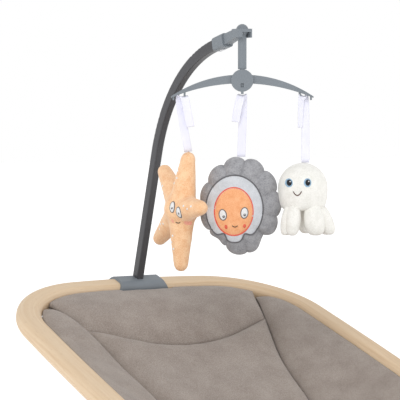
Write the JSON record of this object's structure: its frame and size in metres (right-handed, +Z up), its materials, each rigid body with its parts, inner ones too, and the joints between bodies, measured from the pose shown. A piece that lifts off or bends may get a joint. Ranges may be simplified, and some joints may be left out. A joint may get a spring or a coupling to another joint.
{
  "type": "bouncer seat",
  "caption": "Baby bouncer: padded fabric seat in a tilted bentwood rim on sprung folding arms over a steel floor loop, with a curved arm that holds a turning plush mobile.",
  "frame": {"origin": "on the floor under the middle of the rim", "axes": "+X across the seat, +Y to the head end, +Z up"},
  "size_m": [0.468, 0.733, 0.8068],
  "materials": {
    "beech_wood": "fine lengthwise grain, satin lacquer",
    "grey_tube": "satin powder coat",
    "arm_bar": "satin powder coat",
    "zinc_steel": "zinc plated",
    "rubber_foot": "matt",
    "dark_plastic": "fine moulded texture",
    "blue_grey_plastic": "satin moulded",
    "charcoal_plastic": "satin moulded",
    "seat_fabric": "heathered brushed jersey",
    "shell_fabric": "plain weave",
    "webbing": "flat woven webbing",
    "ribbon": "satin ribbon",
    "peach_plush": "short pile plush",
    "grey_plush": "short pile plush",
    "orange_plush": "short pile plush",
    "white_plush": "short pile plush"
  },
  "bodies": {
    "floor_loop": {"front_floor_tube": "grey_tube", "rear_floor_tube": "grey_tube", "floor_tube_joiners": "zinc_steel", "front_feet": "rubber_foot", "rear_feet": "rubber_foot", "hinge_base_left": "dark_plastic", "hinge_base_right": "dark_plastic", "bounce_pins": "zinc_steel", "bounce_springs": "zinc_steel", "spring_caps": "dark_plastic"},
    "knuckles": {"knuckle_left": "dark_plastic", "knuckle_right": "dark_plastic"},
    "arms": {"support_arm_left": "grey_tube", "support_arm_right": "grey_tube", "arm_fork_left": "dark_plastic", "arm_fork_right": "dark_plastic", "fold_pins": "zinc_steel", "hub_outer_left": "dark_plastic", "hub_outer_right": "dark_plastic", "hub_covers": "blue_grey_plastic"},
    "recline_button_left": {"recline_button_left": "blue_grey_plastic", "lock_gear_left": "charcoal_plastic"},
    "recline_button_right": {"recline_button_right": "blue_grey_plastic", "lock_gear_right": "charcoal_plastic"},
    "seat": {"rim_left": "beech_wood", "rim_right": "beech_wood", "cover_rail": "charcoal_plastic", "seat_shell": "shell_fabric", "side_panel_left": "seat_fabric", "side_panel_right": "seat_fabric", "head_panel": "seat_fabric", "leg_panel": "seat_fabric", "back_panel": "seat_fabric", "buckle_body": "charcoal_plastic", "buckle_tongues": "charcoal_plastic", "crotch_strap": "webbing", "waist_straps": "webbing", "clamp_upper": "blue_grey_plastic", "clamp_lower": "blue_grey_plastic", "clamp_screws": "zinc_steel", "hub_inner_left": "dark_plastic", "hub_inner_right": "dark_plastic", "bracket_screws": "zinc_steel", "hub_axles": "zinc_steel"},
    "buckle_button": {"buckle_button": "charcoal_plastic"},
    "toy_arm": {"toy_arm_bar": "arm_bar", "toy_arm_plug": "dark_plastic", "arm_tip_cradle": "blue_grey_plastic", "tip_screw": "zinc_steel"},
    "hanging_rod": {"hanging_rod": "blue_grey_plastic", "rod_end_screw": "zinc_steel"},
    "mobile": {"mobile_hub": "blue_grey_plastic", "crossbar": "blue_grey_plastic"},
    "star": {"star_ribbon": "ribbon", "star_toy": "peach_plush"},
    "shell": {"shell_ribbon": "ribbon", "shell_toy": "grey_plush", "pearl_toy": "orange_plush"},
    "jelly": {"jelly_ribbon": "ribbon", "jelly_toy": "white_plush"}
  },
  "joints": [
    {"name": "bounce", "type": "hinge", "parent": "floor_loop", "child": "knuckles", "pos_m": [0, -0.262, 0.046], "axis": [-1, 0, 0], "range_deg": [-4, 4], "stiffness_Nm_per_rad": 300, "springref_deg": -2.29},
    {"name": "fold", "type": "hinge", "parent": "knuckles", "child": "arms", "pos_m": [0, -0.23256, 0.063], "axis": [-1, 0, 0], "range_deg": [0, 28]},
    {"name": "recline", "type": "hinge", "parent": "arms", "child": "seat", "pos_m": [0, 0.04338, 0.32103], "axis": [1, 0, 0], "range_deg": [0, 24]},
    {"name": "recline_button_left_press", "type": "slide", "parent": "arms", "child": "recline_button_left", "axis": [1, 0, 0], "range_m": [0, 0.004], "stiffness_N_per_m": 1500},
    {"name": "recline_button_right_press", "type": "slide", "parent": "arms", "child": "recline_button_right", "axis": [-1, 0, 0], "range_m": [0, 0.004], "stiffness_N_per_m": 1500},
    {"name": "buckle_button_press", "type": "slide", "parent": "seat", "child": "buckle_button", "axis": [0, 0.294, -0.9558], "range_m": [0, 0.003], "stiffness_N_per_m": 800},
    {"name": "toy_arm_lift", "type": "slide", "parent": "seat", "child": "toy_arm", "axis": [0, -0.294, 0.9558], "range_m": [0, 0.045]},
    {"name": "mobile_swing", "type": "hinge", "parent": "toy_arm", "child": "hanging_rod", "pos_m": [0, 0.0872, 0.7994], "axis": [1, 0, 0], "range_deg": [-12, 12]},
    {"name": "mobile_spin", "type": "hinge", "parent": "hanging_rod", "child": "mobile", "pos_m": [0, 0.0872, 0.7388], "axis": [0, 0, 1], "continuous": true},
    {"name": "star_swing", "type": "hinge", "parent": "mobile", "child": "star", "pos_m": [-0.06521, 0.12623, 0.7196], "axis": [-0.8581, 0.5135, 0], "range_deg": [-2, 20]},
    {"name": "shell_swing", "type": "hinge", "parent": "mobile", "child": "shell", "pos_m": [0, 0.0872, 0.7222], "axis": [0.8581, -0.5135, 0], "range_deg": [-2, 20]},
    {"name": "jelly_swing", "type": "hinge", "parent": "mobile", "child": "jelly", "pos_m": [0.06521, 0.04817, 0.7196], "axis": [0.8581, -0.5135, 0], "range_deg": [-20, 20]}
  ]
}
